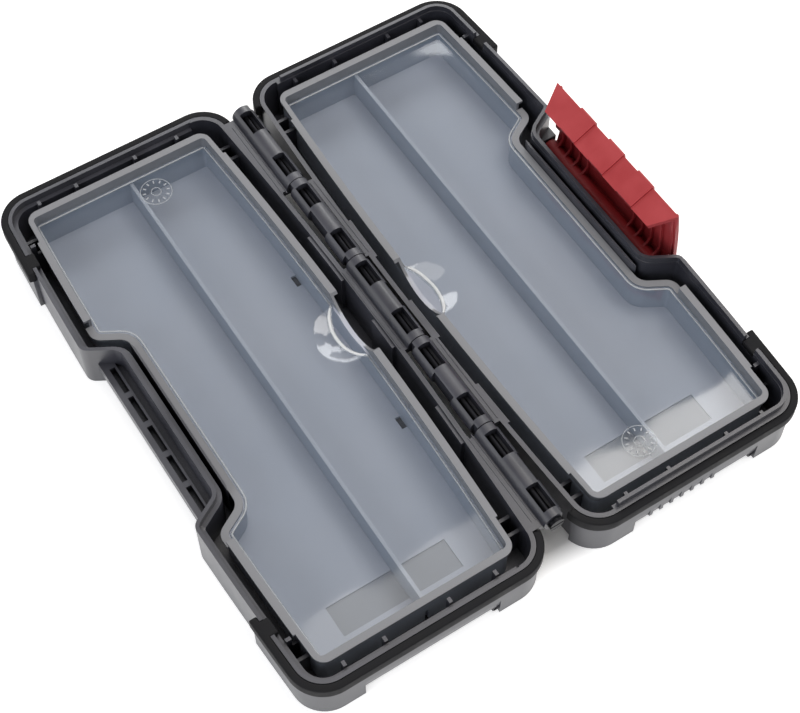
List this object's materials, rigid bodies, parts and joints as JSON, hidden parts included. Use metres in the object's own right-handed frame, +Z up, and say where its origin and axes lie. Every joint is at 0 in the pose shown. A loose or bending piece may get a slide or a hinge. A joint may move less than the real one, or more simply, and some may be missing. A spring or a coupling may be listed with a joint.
{
  "type": "saw blade storage case",
  "caption": "Hinged flat case, lying open, with a tray and a clear finger-scooped cover in each half, soft corner bumpers and a wide hooked latch on the front edge.",
  "frame": {"origin": "on the resting surface, under the middle of the hinge axis, midway between the two halves of the open case", "axes": "+Z up, +Y along the hinge away from the ribbed grip, +X from the hinge to the half that carries the latch"},
  "size_m": [0.2415, 0.2692, 0.049],
  "materials": {
    "shell_plastic": "fine moulded grain",
    "bumper_rubber": "soft matte",
    "tray_plastic": "milky, slightly see-through",
    "cover_plastic": "clear, glossy",
    "latch_plastic": "satin moulded",
    "pin_steel": "blackened"
  },
  "bodies": {
    "base": {"base_shell": "shell_plastic", "base_bumper_far": "bumper_rubber", "base_bumper_near": "bumper_rubber", "base_tray": "tray_plastic", "hinge_pin": "pin_steel", "latch_pin": "pin_steel"},
    "lid": {"lid_shell": "shell_plastic", "lid_bumper_far": "bumper_rubber", "lid_bumper_near": "bumper_rubber", "lid_tray": "tray_plastic"},
    "latch": {"latch": "latch_plastic"},
    "base_cover": {"base_cover": "cover_plastic"},
    "lid_cover": {"lid_cover": "cover_plastic"}
  },
  "joints": [
    {"name": "lid_hinge", "type": "hinge", "parent": "base", "child": "lid", "pos_m": [0, 0, 0.024], "axis": [0, 1, 0], "range_deg": [0, 180]},
    {"name": "latch_swing", "type": "hinge", "parent": "base", "child": "latch", "pos_m": [0.1135, 0, 0.01], "axis": [0, 1, 0], "range_deg": [0, 95]},
    {"name": "base_cover_lift", "type": "slide", "parent": "base", "child": "base_cover", "axis": [0, 0, 1], "range_m": [0, 0.005]},
    {"name": "lid_cover_lift", "type": "slide", "parent": "lid", "child": "lid_cover", "axis": [0, 0, 1], "range_m": [0, 0.005]}
  ]
}
